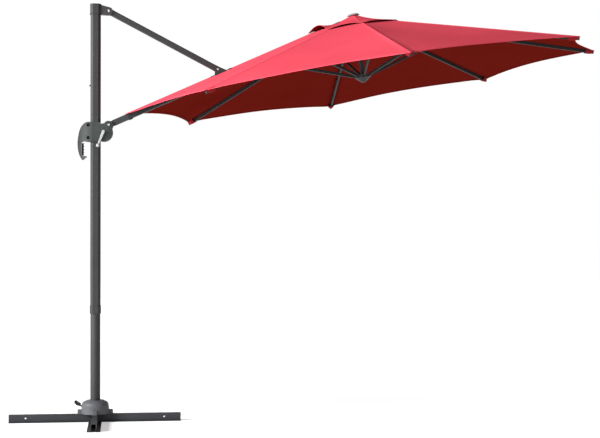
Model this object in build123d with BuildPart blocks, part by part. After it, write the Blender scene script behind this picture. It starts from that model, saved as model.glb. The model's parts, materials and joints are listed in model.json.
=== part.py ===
from build123d import *
import os
from math import asin, atan2, cos, degrees, hypot, radians, sin, tan

# Cantilever parasol on a cross base, in millimetres.
# Frame: the origin is on the ground on the mast's axis, +Z is up, and +X runs along the canopy arm.
# Eight spokes carry the canopy: spoke 1 is the arm itself, spokes 2 to 8 are ribs, numbered
# anticlockwise from the arm as seen from above.
os.makedirs("parts", exist_ok=True)

# ---------------------------------------------------------------- driving dimensions
# cross base: two hat-section bars laid across each other
bar_length = 1000
bar_height = 46
bar_top = 30
bar_flange = 76
bar_gauge = 2.5
bar_hole = 12
bar_hole_inset = 97

# socket, turntable and dome
plate_radius = 74
plate_thickness = 4
lug_width = 20
lug_reach = 99
lug_bolt_radius = 88
bolt_shank = 8
spigot_outer = 48
spigot_inner = 42
spigot_top = 260
dome_radius = 80.5
dome_top = 125.5
dome_wall = 3
dome_bore = 31.5
ear_width = 27
ear_reach = 103
ear_top = 71
index_radius = 56
index_z = 62.3
index_thickness = 5
index_count = 12
lock_radius = 44
pedal_pivot = (-64, 88.5)

# mast
tube_outer = 58
tube_wall = 2
joint_z = 656
neck_outer = 55.6
neck_top = 760
mast_across = 60
mast_chamfer = 14.4
mast_top = 2440
collar_height = 48
collar_wall = 2.5
stop_z = 1974

# arm linkage
pivot_offset = 78
strut_pivot_z = 2414
slider_pivot_z = 1742
knee_x = 721
arm_slope = 24.15
arm_depth = 36
arm_width = 30
arm_wall = 2
strut_depth = 35
strut_width = 26
strut_wall = 1.8
pivot_bolt = 8
running = 0.1

# canopy
hub_x = 1539
hub_z = 2406
canopy_tilt = 8.82
tip_radius = 1449
tip_drop = 405.6
arm_tip_reach = 1445
hinge_radius = 42
rib_depth = 20
rib_width = 12
rib_below_cloth = 11.5
rib_wall = 1
stretcher_depth = 16
stretcher_length = 553
stretcher_drop = 19.5
cloth = 0.6
cloth_gap = 0.25
scallop = 58
vent_opening = 200
vent_radius = 285
vent_lift = 11
apex_height = 9
arm_cloth_height = 21

# slider, grip and crank
slider_top = 1757
slider_foot = 1641
housing_centre = (49, 1697)
housing_radius = 53
heel_radius = 28
shell_half_width = 36
shell_wall = 3.5
grip_half_width = 15
screw_x = -43
screw_heights = (1740, 1665)
crank_centre = (46, 1702)
crank_reach = (-32, -84)

# ---------------------------------------------------------------- worked-out geometry
rise = strut_pivot_z - slider_pivot_z
strut_length = hypot(knee_x - pivot_offset, rise / 2)
strut_slope = degrees(asin(rise / 2 / strut_length))
rib_slope = degrees(atan2(tip_drop, tip_radius))
arm_below_plane = arm_slope - canopy_tilt

strut_pivot = Vector(pivot_offset, 0, strut_pivot_z)
slider_pivot = Vector(pivot_offset, 0, slider_pivot_z)
knee = Vector(knee_x, 0, slider_pivot_z + rise / 2)
canopy = Plane(
    origin=(hub_x, 0, hub_z),
    x_dir=(cos(radians(canopy_tilt)), 0, sin(radians(canopy_tilt))),
    z_dir=(-sin(radians(canopy_tilt)), 0, cos(radians(canopy_tilt))),
)
arm_side = Plane(
    origin=slider_pivot,
    x_dir=(cos(radians(arm_slope)), 0, sin(radians(arm_slope))),
    z_dir=(0, -1, 0),
)
strut_side = Plane(
    origin=strut_pivot,
    x_dir=(cos(radians(strut_slope)), 0, -sin(radians(strut_slope))),
    z_dir=(0, -1, 0),
)
hinge_height = -hinge_radius * tan(radians(rib_slope)) - rib_below_cloth / cos(radians(rib_slope))
stretcher_angle = rib_slope + degrees(asin(stretcher_drop / stretcher_length))
runner_drop = 2 * stretcher_length * sin(radians(stretcher_angle))
runner_height = hinge_height - runner_drop

hub_in_arm = arm_side.to_local_coords(canopy.origin)
knee_in_arm = arm_side.to_local_coords(knee)
arm_cloth_lift = (arm_cloth_height - hub_in_arm.Y) / cos(radians(arm_below_plane))


def write(name, piece):
    """Label a finished piece and write it as its own STEP file."""
    piece.part.label = name
    export_step(piece.part, f"parts/{name}.step")


def azimuth(spoke):
    """Direction of a spoke about the canopy's axis, in degrees."""
    return 180 + 45 * (spoke - 1)


def canopy_point(angle, radius, height):
    """A point of the canopy's own frame, in the part's frame."""
    flat = (radius * cos(radians(angle)), radius * sin(radians(angle)), height)
    return canopy.from_local_coords(Vector(*flat))


def section(spoke):
    """Upright plane along a spoke: x is the radius, y the height above the canopy's origin."""
    outward = canopy_point(azimuth(spoke), 1, 0) - canopy.origin
    return Plane(origin=canopy.origin, x_dir=outward, z_dir=outward.cross(canopy.z_dir))


def cross_plane(side_plane, x, y, slope=0):
    """Plane across a bar whose axis leaves (x, y) of a side plane at the given slope."""
    start = side_plane.from_local_coords(Vector(x, y, 0))
    end = side_plane.from_local_coords(Vector(x + cos(radians(slope)), y + sin(radians(slope)), 0))
    return Plane(origin=start, x_dir=side_plane.z_dir, z_dir=end - start)


def mast_outline(grow=0):
    """Sketch of the chamfered square mast, grown outward by a clearance."""
    across = mast_across + 2 * grow
    with BuildSketch() as outline:
        Rectangle(across, across)
        chamfer(outline.vertices(), mast_chamfer + grow * (2 - 2**0.5))
        fillet(outline.vertices(), 2)
    return outline.sketch


def ring(outer, inner, bottom, top):
    """Plain round sleeve on the mast's axis."""
    with BuildPart() as sleeve:
        with BuildSketch(Plane.XY.offset(bottom)):
            Circle(outer / 2)
            Circle(inner / 2, mode=Mode.SUBTRACT)
        extrude(amount=top - bottom)
    return sleeve


def bolt(plane, x, y, shank, half_length, head=7, head_height=4, nut=True):
    """Bolt across a side plane: a round head on the near side and a nut on the far one."""
    with BuildPart() as screw:
        with BuildSketch(plane):
            with Locations((x, y)):
                Circle(shank / 2)
        extrude(amount=half_length, both=True)
        with BuildSketch(plane.offset(half_length)):
            with Locations((x, y)):
                Circle(head)
        extrude(amount=head_height)
        fillet(screw.faces().sort_by(Axis(plane.origin, plane.z_dir))[-1].edges(), head_height * 0.6)
        if nut:
            with BuildSketch(plane.offset(-half_length)):
                with Locations((x, y)):
                    RegularPolygon(head, 6)
            extrude(amount=-head_height)
    return screw.part


# ---------------------------------------------------------------- cross base
def hat_profile():
    """Hat section of a base bar, with its flanges on the ground."""
    with BuildSketch() as hat:
        Rectangle(bar_top, bar_height, align=(Align.CENTER, Align.MIN))
        Rectangle(bar_flange, bar_gauge, align=(Align.CENTER, Align.MIN))
        Rectangle(
            bar_top - 2 * bar_gauge,
            bar_height - bar_gauge,
            align=(Align.CENTER, Align.MIN),
            mode=Mode.SUBTRACT,
        )
    return hat.sketch


def cross_bar(across, side, notch_size, notch_z, notch_height):
    """Base bar with its halving notch, side-wall holes and lug-bolt holes."""
    with BuildPart() as bar:
        with BuildSketch(across):
            add(hat_profile())
        extrude(amount=bar_length / 2, both=True)
        with BuildSketch(Plane.XY.offset(notch_z)):
            Rectangle(*notch_size)
        extrude(amount=notch_height, mode=Mode.SUBTRACT)
        with BuildSketch(side):
            with GridLocations(bar_length - 2 * bar_hole_inset, 1, 2, 1):
                with Locations((0, bar_height / 2)):
                    Circle(bar_hole / 2)
        extrude(amount=bar_top, both=True, mode=Mode.SUBTRACT)
        with BuildSketch(Plane.XY.offset(bar_height)):
            with PolarLocations(lug_bolt_radius, 4):
                Circle(bolt_shank / 2 + 0.2)
        extrude(amount=-bar_height / 2, mode=Mode.SUBTRACT)
    return bar


half_height = bar_height / 2
upper_notch = (bar_top + 1, bar_flange)
lower_notch = (bar_flange + 4, bar_flange + 1)
cross_bar_x = cross_bar(Plane.YZ, Plane.XZ, upper_notch, half_height, bar_height)
write("cross_bar_x", cross_bar_x)
cross_bar_y = cross_bar(Plane.XZ, Plane.YZ, lower_notch, 0, half_height + 0.5)
write("cross_bar_y", cross_bar_y)

plate_top = bar_height + plate_thickness
with BuildPart() as base_socket:
    with BuildSketch(Plane.XY.offset(bar_height)):
        Circle(plate_radius)
        with PolarLocations(lug_reach / 2, 4):
            Rectangle(lug_reach, lug_width)
        with PolarLocations(lug_bolt_radius, 4):
            Circle(bolt_shank / 2 + 0.2, mode=Mode.SUBTRACT)
    extrude(amount=plate_thickness)
    with BuildSketch(Plane.XY.offset(plate_top)):
        Circle(spigot_outer / 2)
    extrude(amount=spigot_top - plate_top)
    with BuildSketch(Plane.XY.offset(spigot_top)):
        Circle(spigot_inner / 2)
    extrude(amount=-(spigot_top - bar_height), mode=Mode.SUBTRACT)
    chamfer(base_socket.faces().sort_by(Axis.Z)[-1].edges().sort_by(SortBy.LENGTH)[-1], 1.5)
write("base_socket", base_socket)

with BuildPart() as base_bolts:
    with BuildSketch(Plane.XY.offset(plate_top)):
        with PolarLocations(lug_bolt_radius, 4):
            RegularPolygon(6.5, 6, major_radius=False)
    extrude(amount=5.3)
    with BuildSketch(Plane.XY.offset(plate_top)):
        with PolarLocations(lug_bolt_radius, 4):
            Circle(bolt_shank / 2)
    extrude(amount=-16)
    with BuildSketch(Plane.XY.offset(bar_height - bar_gauge - 0.1)):
        with PolarLocations(lug_bolt_radius, 4):
            RegularPolygon(6.5, 6, major_radius=False)
            Circle(bolt_shank / 2 + 0.05, mode=Mode.SUBTRACT)
    extrude(amount=-6.3)
write("base_bolts", base_bolts)


def dome_outline(inset, bottom):
    """Half outline of the dome, from its foot to the ring round the mast."""
    with BuildSketch(Plane.XZ) as half:
        with BuildLine():
            band = (dome_radius - inset, 86)
            waist = (dome_radius - 1.2 - inset, 92)
            shoulder = (66, 119 - inset)
            Polyline((dome_bore, bottom), (dome_radius - inset, bottom), band,
                     (dome_radius - 1.2 - inset, 87.2), waist)
            ThreePointArc(waist, (76.2 - 0.8 * inset, 107 - 0.6 * inset), shoulder)
            Polyline(shoulder, (56, 120.5 - inset), (52, dome_top - inset),
                     (dome_bore, dome_top - inset), (dome_bore, bottom))
        make_face()
    return half.sketch


dome_foot = bar_height + 0.3
with BuildPart() as base_cover:
    add(dome_outline(0, dome_foot))
    revolve(axis=Axis.Z)
    with BuildSketch(Plane.XY.offset(dome_foot)):
        with PolarLocations((ear_reach + 60) / 2, 4):
            Rectangle(ear_reach - 60, ear_width)
    extrude(amount=ear_top - dome_foot)
    ear_tips = base_cover.edges().filter_by(Axis.Z).filter_by(
        lambda e: hypot(e.center().X, e.center().Y) > dome_radius + 10
    )
    fillet(ear_tips, 4)
    add(dome_outline(dome_wall, dome_foot - 1))
    revolve(axis=Axis.Z, mode=Mode.SUBTRACT)
    with BuildSketch(Plane.XY.offset(dome_foot)):
        with PolarLocations((ear_reach + 57) / 2, 4):
            Rectangle(ear_reach - 62, lug_width + 2)
        Circle(lug_reach - 24)
    extrude(amount=ear_top - dome_foot - dome_wall, mode=Mode.SUBTRACT)
    with BuildSketch(Plane.YZ.offset(-dome_radius - 5)):
        with Locations((0, 89.5)):
            Rectangle(23, 24)
    extrude(amount=22, mode=Mode.SUBTRACT)
write("base_cover", base_cover)

lock_plate_z = 106
with BuildPart() as lock_bracket:
    with BuildSketch(Plane.XZ):
        Polygon((-72, plate_top), (-58.5, plate_top), (-58.5, 103), (-36, lock_plate_z),
                (-36, lock_plate_z + 3), (-60, lock_plate_z + 3), (-72, 94))
    extrude(amount=14, both=True)
    with BuildSketch(Plane.XZ):
        with Locations((-54, plate_top)):
            Rectangle(60, lock_plate_z - plate_top, align=(Align.CENTER, Align.MIN))
    extrude(amount=11, both=True, mode=Mode.SUBTRACT)
    with BuildSketch(Plane.XZ):
        with Locations(pedal_pivot):
            Circle(2.5)
    extrude(amount=15.5, both=True)
    with BuildSketch(Plane.XY.offset(lock_plate_z)):
        with Locations((-lock_radius, 0)):
            Circle(3.1)
    extrude(amount=3, mode=Mode.SUBTRACT)
write("lock_bracket", lock_bracket)

pad_half_width = 18
with BuildPart() as foot_pedal:
    with BuildSketch(Plane.XZ):
        Polygon((-lock_radius, 86), (-78, 86), (-88, 91.5), (-88, 102), (-78, 93), (-lock_radius, 91))
        with Locations(pedal_pivot):
            Circle(6)
    extrude(amount=9, both=True)
    with BuildSketch(Plane.XZ):
        Polygon((-84, 91.5), (-108, 97), (-122, 112), (-121, 121), (-112, 124), (-84, 106))
    extrude(amount=pad_half_width, both=True)
    with BuildSketch(Plane.XY.offset(80)):
        with Locations((-lock_radius, 0)):
            Rectangle(12, 10.6)
    extrude(amount=20, mode=Mode.SUBTRACT)
    with BuildSketch(Plane.XZ):
        with Locations(pedal_pivot):
            Circle(2.6)
    extrude(amount=20, both=True, mode=Mode.SUBTRACT)
    pad_edges = foot_pedal.edges().filter_by(Axis.Y).filter_by(lambda e: e.center().X < -105)
    fillet(pad_edges, 3.5)
write("foot_pedal", foot_pedal)

collar_z = 91.6
with BuildPart() as lock_pin:
    for radius, bottom, top in ((5, index_z + 0.7, 94), (8, collar_z, 94), (3, 94, 112)):
        with BuildSketch(Plane.XY.offset(bottom)):
            with Locations((-lock_radius, 0)):
                Circle(radius)
        extrude(amount=top - bottom)
    chamfer(lock_pin.faces().sort_by(Axis.Z)[0].edges(), 1)
write("lock_pin", lock_pin)

with BuildPart() as pin_spring:
    with BuildLine() as coil:
        Helix(pitch=2.7, height=10.6, radius=5, center=(-lock_radius, 0, 94.7))
    with BuildSketch(Plane(origin=coil.line @ 0, z_dir=coil.line % 0)):
        Circle(0.5)
    sweep()
write("pin_spring", pin_spring)

write("thrust_ring", ring(92, spigot_outer + 0.4, plate_top, index_z - 0.3))

# ---------------------------------------------------------------- mast
with BuildPart() as index_plate:
    with BuildSketch(Plane.XY.offset(index_z)):
        Circle(index_radius)
        Circle(tube_outer / 2, mode=Mode.SUBTRACT)
        with PolarLocations(lock_radius, index_count):
            Circle(5.4, mode=Mode.SUBTRACT)
    extrude(amount=index_thickness)
write("index_plate", index_plate)

with BuildPart() as mast_tube_lower:
    with BuildSketch(Plane.XY.offset(index_z)):
        Circle(tube_outer / 2)
    extrude(amount=joint_z - index_z)
    with BuildSketch(Plane.XY.offset(joint_z)):
        Circle(neck_outer / 2)
    extrude(amount=neck_top - joint_z)
    with BuildSketch(Plane.XY.offset(index_z)):
        Circle(tube_outer / 2 - tube_wall)
    extrude(amount=joint_z - index_z - tube_wall, mode=Mode.SUBTRACT)
    with BuildSketch(Plane.XY.offset(neck_top)):
        Circle(neck_outer / 2 - tube_wall)
    extrude(amount=-(neck_top - joint_z + tube_wall), mode=Mode.SUBTRACT)
write("mast_tube_lower", mast_tube_lower)

write("bearing_sleeve", ring(tube_outer - 2 * tube_wall, spigot_outer + 0.3, 100, spigot_top - 5))

with BuildPart() as mast_tube_upper:
    with BuildSketch(Plane.XY.offset(joint_z)):
        add(mast_outline())
        add(mast_outline(-tube_wall), mode=Mode.SUBTRACT)
    extrude(amount=mast_top - joint_z)
write("mast_tube_upper", mast_tube_upper)

with BuildPart() as mast_collar:
    with BuildSketch(Plane.XY.offset(joint_z - collar_height / 2)):
        add(mast_outline(collar_wall))
    extrude(amount=collar_height)
    rims = mast_collar.faces().filter_by(Axis.Z)
    chamfer(rims.edges(), 1)
    with BuildSketch(Plane.XY.offset(joint_z)):
        add(mast_outline())
    extrude(amount=collar_height, mode=Mode.SUBTRACT)
    with BuildSketch(Plane.XY.offset(joint_z)):
        Circle(tube_outer / 2)
    extrude(amount=-collar_height, mode=Mode.SUBTRACT)
write("mast_collar", mast_collar)

with BuildPart() as stop_button:
    with BuildSketch(Plane.YZ.offset(-mast_across / 2)):
        with Locations((0, stop_z)):
            Circle(5)
    extrude(amount=-7)
    fillet(stop_button.faces().sort_by(Axis.X)[0].edges(), 2.5)
write("stop_button", stop_button)

bracket_foot = 2394
bracket_top = 2456
nose_radius = 22
nose_half_width = 21
strut_slot = strut_width / 2 + 0.5
knuckle = strut_depth / 2 + 1.2
with BuildPart() as top_bracket:
    with BuildSketch(Plane.XY.offset(bracket_foot)):
        add(mast_outline(2.5))
    extrude(amount=bracket_top - bracket_foot)
    fillet(top_bracket.faces().sort_by(Axis.Z)[-1].edges(), 5)
    with BuildSketch(Plane.XZ):
        with Locations((pivot_offset, strut_pivot_z)):
            Circle(nose_radius)
        with Locations((0, bracket_foot)):
            Rectangle(20, bracket_top - bracket_foot - 1, align=(Align.CENTER, Align.MIN))
        make_hull()
    extrude(amount=nose_half_width, both=True)
    with BuildSketch(Plane.XY.offset(bracket_foot - 1)):
        add(mast_outline(4.5))
    extrude(amount=5)
    with BuildSketch(Plane.XZ):
        with Locations((pivot_offset, strut_pivot_z)):
            Circle(knuckle)
        Polygon((pivot_offset + 5.8, strut_pivot_z + knuckle - 1), (140, strut_pivot_z - 6),
                (140, strut_pivot_z - 50), (pivot_offset - knuckle, strut_pivot_z - 50),
                (pivot_offset - knuckle, strut_pivot_z))
    extrude(amount=strut_slot, both=True, mode=Mode.SUBTRACT)
    with BuildSketch(Plane.XY.offset(bracket_foot - 1)):
        add(mast_outline(0.1))
    extrude(amount=mast_top + 0.2 - bracket_foot + 1, mode=Mode.SUBTRACT)
    with BuildSketch(Plane.XZ):
        with Locations((pivot_offset, strut_pivot_z)):
            Circle(pivot_bolt / 2 + running)
    extrude(amount=40, both=True, mode=Mode.SUBTRACT)
write("top_bracket", top_bracket)

with BuildPart() as strut_bolt:
    add(bolt(Plane.XZ, pivot_offset, strut_pivot_z, pivot_bolt, nose_half_width + 0.2))
write("strut_bolt", strut_bolt)


# ---------------------------------------------------------------- strut and arm
def box_tube(plane, width, depth, wall, corner, length):
    """Rounded rectangular tube along a plane's normal."""
    with BuildPart() as tube:
        with BuildSketch(plane):
            RectangleRounded(width, depth, corner)
            RectangleRounded(width - 2 * wall, depth - 2 * wall, corner - wall, mode=Mode.SUBTRACT)
        extrude(amount=length)
    return tube.part


end_length = 20
plug_length = 50
strut_start = cross_plane(strut_side, end_length, 0)
with BuildPart() as strut_tube:
    add(box_tube(strut_start, strut_width, strut_depth, strut_wall, 6, strut_length - 2 * end_length))
write("strut_tube", strut_tube)

with BuildPart() as strut_ends:
    for pivot_x, inward in ((0, 1), (strut_length, -1)):
        with BuildSketch(strut_side):
            with Locations((pivot_x, 0)):
                Circle(strut_depth / 2)
            with Locations((pivot_x + inward * end_length / 2, 0)):
                Rectangle(end_length, strut_depth)
        extrude(amount=strut_width / 2 - 0.1, both=True)
        with BuildSketch(strut_side):
            with Locations((pivot_x + inward * (end_length + plug_length) / 2, 0)):
                Rectangle(plug_length - end_length, strut_depth - 2 * strut_wall - 4)
        extrude(amount=strut_width / 2 - strut_wall - 2, both=True)
        with BuildSketch(strut_side):
            with Locations((pivot_x, 0)):
                Circle(pivot_bolt / 2 + running)
        extrude(amount=strut_width, both=True, mode=Mode.SUBTRACT)
write("strut_ends", strut_ends)

arm_start = 38
arm_hinge = arm_side.to_local_coords(canopy_point(180, hinge_radius, hinge_height))
arm_end = arm_hinge.X - 58
bracket_holes = (knee_in_arm.X - 24, knee_in_arm.X + 40)
bracket_bolt = 6
arm_heel = cross_plane(arm_side, arm_start, 0)
with BuildPart() as arm_tube:
    add(box_tube(arm_heel, arm_width, arm_depth, arm_wall, 5, arm_end - arm_start))
    with BuildSketch(arm_side):
        with Locations(*[(x, 0) for x in bracket_holes]):
            Circle(bracket_bolt / 2 + running)
    extrude(amount=arm_width, both=True, mode=Mode.SUBTRACT)
write("arm_tube", arm_tube)

cord_height = 9
cord_radius = 1.5
eye_radius = 15
plug_width = arm_width - 2 * arm_wall - 0.4
plug_depth = arm_depth - 2 * arm_wall - 0.4
with BuildPart() as arm_root:
    with BuildSketch(arm_side):
        Circle(eye_radius)
        Polygon((0, -eye_radius), (arm_start, -arm_depth / 2 + 0.5),
                (arm_start, arm_depth / 2 - 0.5), (0, eye_radius))
    extrude(amount=arm_width / 2 - 0.2, both=True)
    with BuildSketch(arm_heel):
        RectangleRounded(plug_width, plug_depth, 3)
    extrude(amount=42)
    with BuildSketch(arm_side):
        Circle(pivot_bolt / 2 + running)
    extrude(amount=arm_width, both=True, mode=Mode.SUBTRACT)
    with BuildSketch(cross_plane(arm_side, -eye_radius - 5, cord_height)):
        Circle(cord_radius + 1)
    extrude(amount=120, mode=Mode.SUBTRACT)
write("arm_root", arm_root)

nose_tongue = 7
pulley_radius = 9
pulley_x = arm_hinge.X - 34
with BuildPart() as arm_nose:
    with BuildSketch(arm_side):
        with Locations((arm_hinge.X, arm_hinge.Y)):
            Circle(8)
        with Locations((arm_end + 6, 0)):
            Rectangle(12, arm_depth - 1)
        make_hull()
    extrude(amount=nose_tongue, both=True)
    with BuildSketch(cross_plane(arm_side, arm_end, 0)):
        RectangleRounded(arm_width - 0.4, arm_depth - 0.4, 4.5)
    extrude(amount=12)
    with BuildSketch(cross_plane(arm_side, arm_end, 0)):
        RectangleRounded(plug_width, plug_depth, 3)
    extrude(amount=-40)
    with BuildSketch(arm_side):
        with Locations((pulley_x, 0)):
            Circle(pulley_radius + 3)
    extrude(amount=4, both=True, mode=Mode.SUBTRACT)
    with BuildSketch(arm_side):
        with Locations((arm_hinge.X, arm_hinge.Y)):
            Circle(2 + running / 2)
        with Locations((pulley_x, 0)):
            Circle(2)
    extrude(amount=arm_width, both=True, mode=Mode.SUBTRACT)
    with BuildSketch(cross_plane(arm_side, arm_end - 45, cord_height)):
        Circle(cord_radius + 1)
    extrude(amount=pulley_x - arm_end + 45, mode=Mode.SUBTRACT)
    with BuildSketch(arm_side):
        with Locations((pulley_x, 0)):
            Circle(pulley_radius - cord_radius - 0.2)
    extrude(amount=3, both=True)
    with BuildSketch(arm_side):
        with Locations((pulley_x, 0)):
            Circle(2)
    extrude(amount=nose_tongue, both=True)
write("arm_nose", arm_nose)

with BuildPart() as lift_cord:
    with BuildSketch(cross_plane(arm_side, 10, cord_height)):
        Circle(cord_radius)
    extrude(amount=pulley_x - 10)
write("lift_cord", lift_cord)

cheek = arm_width / 2 + 0.2
cheek_wall = 3.2
lug_x = arm_hinge.X - stretcher_length * cos(radians(stretcher_angle - arm_below_plane))
lug_y = arm_hinge.Y - stretcher_length * sin(radians(stretcher_angle - arm_below_plane))
lug_gap = rib_width / 2 + 0.3
lug_wall = 2
with BuildPart() as knee_bracket:
    with BuildSketch(arm_side):
        with Locations((knee_in_arm.X, knee_in_arm.Y)):
            Circle(16.5)
        with Locations((sum(bracket_holes) / 2, 0)):
            Rectangle(bracket_holes[1] - bracket_holes[0] + 24, 24)
        make_hull()
    extrude(amount=cheek + cheek_wall, both=True)
    with BuildSketch(arm_side):
        with Locations((knee_in_arm.X, 30)):
            Rectangle(200, 120)
    extrude(amount=cheek, both=True, mode=Mode.SUBTRACT)
    with BuildSketch(arm_side):
        with Locations(*[(x, 0) for x in bracket_holes]):
            Circle(bracket_bolt / 2 + running)
        with Locations((knee_in_arm.X, knee_in_arm.Y)):
            Circle(pivot_bolt / 2 + running)
    extrude(amount=40, both=True, mode=Mode.SUBTRACT)

with BuildPart() as stretcher_lug:
    with BuildSketch(arm_side):
        with Locations((lug_x, lug_y)):
            Circle(6)
        with Locations((lug_x, -arm_depth / 2)):
            Rectangle(34, 1, align=(Align.CENTER, Align.MAX))
        make_hull()
    extrude(amount=lug_gap + lug_wall, both=True)
    with BuildSketch(arm_side):
        with Locations((lug_x, -arm_depth / 2)):
            Rectangle(60, 30, align=(Align.CENTER, Align.MAX))
    extrude(amount=lug_gap, both=True, mode=Mode.SUBTRACT)
    with BuildSketch(arm_side):
        with Locations((lug_x, lug_y)):
            Circle(2)
    extrude(amount=lug_gap + lug_wall, both=True)

with BuildPart() as arm_brackets:
    add(knee_bracket.part)
    add(stretcher_lug.part)
write("arm_brackets", arm_brackets)

with BuildPart() as bracket_bolts:
    add(bolt(arm_side, knee_in_arm.X, knee_in_arm.Y, pivot_bolt, cheek + cheek_wall + 0.2))
    for x in bracket_holes:
        add(bolt(arm_side, x, 0, bracket_bolt, cheek + cheek_wall + 0.2, head=5, head_height=3))
write("bracket_bolts", bracket_bolts)

# ---------------------------------------------------------------- slider with grip and crank housing
arm_slot = arm_width / 2 + 0.6
slot_reach = 90
screw_seat = 20
screw_recess = 10
spool_radius = 10.75
spool_flange = 13.2
finger_count = 4
finger_pitch = 17.75
trigger_foot = 1562.5
trigger_height = finger_count * finger_pitch
slot_half_height = arm_depth / 2 + 2
heel_centre = (pivot_offset - 3, slider_pivot_z - 5)


def from_pivot(slope, along, above):
    """Point reached from the slider pivot along a slope, and above it, in the XZ plane."""
    dx, dz = cos(radians(slope)), sin(radians(slope))
    return (pivot_offset + along * dx - above * dz, slider_pivot_z + along * dz + above * dx)


def slider_side():
    """Side outline of the slider: sleeve, crank housing, arm heel and hooked grip."""
    with BuildSketch() as outline:
        with BuildLine():
            back = Spline((-30, slider_top), (-57, 1755.5), (-85, 1728), (-100, 1680), (-105, 1635),
                          (-101, 1590), (-92, 1558), (-80, 1537))
            hook = Spline(back @ 1, (-75, 1535.5), (-64, 1542), (-50, 1552))
            Polyline(hook @ 1, (-53, 1557), (-66, 1557.5), (-82, 1562), (-82, 1636), (-70, slider_foot + 5),
                     (-30, slider_foot), (30, slider_foot), (30, slider_top), back @ 0)
        make_face()
        with Locations(housing_centre):
            Circle(housing_radius)
        with Locations(heel_centre):
            Circle(heel_radius)
    return outline.sketch


def slider_plan():
    """Plan outline of the slider: full width round the mast, drawn in towards the grip."""
    with BuildSketch(Plane.XY.offset(slider_foot - 150)) as outline:
        with BuildLine():
            near = Spline((-5, -shell_half_width), (-38, -33), (-75, -21), (-115, -grip_half_width))
            Line(near @ 1, (-115, grip_half_width))
            far = Spline((-115, grip_half_width), (-75, 21), (-38, 33), (-5, shell_half_width))
            Polyline(far @ 1, (70, shell_half_width), (115, shell_half_width - 7),
                     (115, 7 - shell_half_width), (70, -shell_half_width), near @ 0)
        make_face()
    return outline.sketch


def slider_shell(side):
    """Half of the slider on one side of y = 0, hollow round the mast, the spool and the arm."""
    inner_face = Plane.XZ.offset(side * 0.1)
    with BuildPart() as shell:
        with BuildSketch(inner_face):
            add(slider_side())
        extrude(amount=side * shell_half_width)
        add(slider_plan())
        extrude(amount=300, mode=Mode.INTERSECT)
        with BuildSketch(inner_face):
            with Locations(crank_centre):
                Circle(11)
        extrude(amount=side * (shell_half_width + 2))
        with BuildSketch(Plane.XY.offset(slider_foot - 5)):
            add(mast_outline(0.5))
        extrude(amount=slider_top - slider_foot + 10, mode=Mode.SUBTRACT)
        with BuildSketch(inner_face):
            with Locations(housing_centre):
                Circle(housing_radius - shell_wall)
            with Locations(heel_centre):
                Circle(heel_radius - shell_wall)
            with Locations((mast_across / 2 + shell_wall + 0.5, slider_foot)):
                Rectangle(200, 300, align=(Align.MAX, Align.CENTER), mode=Mode.SUBTRACT)
            with Locations(crank_centre):
                Circle(spool_flange + 0.8)
        extrude(amount=side * (shell_half_width - 2 * shell_wall), mode=Mode.SUBTRACT)
        with BuildSketch(inner_face):
            Polygon(from_pivot(15, 0, -slot_half_height), from_pivot(15, slot_reach, -slot_half_height),
                    (160, 1830), from_pivot(77, slot_reach, slot_half_height),
                    from_pivot(77, 0, slot_half_height))
            with Locations((pivot_offset, slider_pivot_z)):
                Circle(slot_half_height)
        extrude(amount=side * arm_slot, mode=Mode.SUBTRACT)
        with BuildSketch(inner_face.offset(side * arm_slot)):
            with Locations((pivot_offset, slider_pivot_z)):
                Circle(9)
        extrude(amount=side * (shell_half_width - arm_slot - 2))
        with BuildSketch(inner_face):
            with Locations((pivot_offset, slider_pivot_z)):
                Circle(pivot_bolt / 2 + running)
            with Locations(*[(screw_x, z) for z in screw_heights]):
                Circle(2.1)
            if side > 0:
                with Locations(crank_centre):
                    Circle(6.2)
        extrude(amount=side * 60, mode=Mode.SUBTRACT)
        with BuildSketch(inner_face.offset(side * screw_seat)):
            with Locations(*[(screw_x, z) for z in screw_heights]):
                Circle(screw_recess)
        extrude(amount=side * 40, mode=Mode.SUBTRACT)
        with BuildSketch(inner_face):
            with Locations((-64, trigger_foot - 2)):
                Rectangle(30, trigger_height + 4, align=(Align.MAX, Align.MIN))
        extrude(amount=side * 8.4, mode=Mode.SUBTRACT)
    return shell


write("slider_shell_near", slider_shell(1))
write("slider_shell_far", slider_shell(-1))

with BuildPart() as slider_screws:
    for z in screw_heights:
        with BuildSketch(Plane.XZ):
            with Locations((screw_x, z)):
                Circle(2)
        extrude(amount=screw_seat, both=True)
        with BuildSketch(Plane.XZ.offset(screw_seat + 0.2)):
            with Locations((screw_x, z)):
                Circle(4.5)
        extrude(amount=3)
write("slider_screws", slider_screws)

with BuildPart() as arm_bolt:
    add(bolt(Plane.XZ, pivot_offset, slider_pivot_z, pivot_bolt, shell_half_width + 0.3))
write("arm_bolt", arm_bolt)

trigger_back = -80.5
trigger_front = -66
with BuildPart() as grip_trigger:
    with BuildSketch(Plane.XZ):
        with BuildLine():
            Polyline((trigger_front, trigger_foot), (trigger_back, trigger_foot),
                     (trigger_back, trigger_foot + trigger_height),
                     (trigger_front, trigger_foot + trigger_height))
            for finger in range(finger_count):
                low = trigger_foot + finger * finger_pitch
                ThreePointArc((trigger_front, low), (trigger_front - 3.5, low + finger_pitch / 2),
                              (trigger_front, low + finger_pitch))
        make_face()
    extrude(amount=8, both=True)
write("grip_trigger", grip_trigger)

with BuildPart() as spool:
    with BuildSketch(Plane.XZ):
        with Locations(crank_centre):
            Circle(spool_radius)
    extrude(amount=11, both=True)
    for y in (-13, 11):
        with BuildSketch(Plane.XZ.offset(y)):
            with Locations(crank_centre):
                Circle(spool_flange)
        extrude(amount=2)
    with BuildSketch(Plane.XZ):
        with Locations(crank_centre):
            Circle(6)
    extrude(amount=40, both=True, mode=Mode.SUBTRACT)
write("spool", spool)

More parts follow.
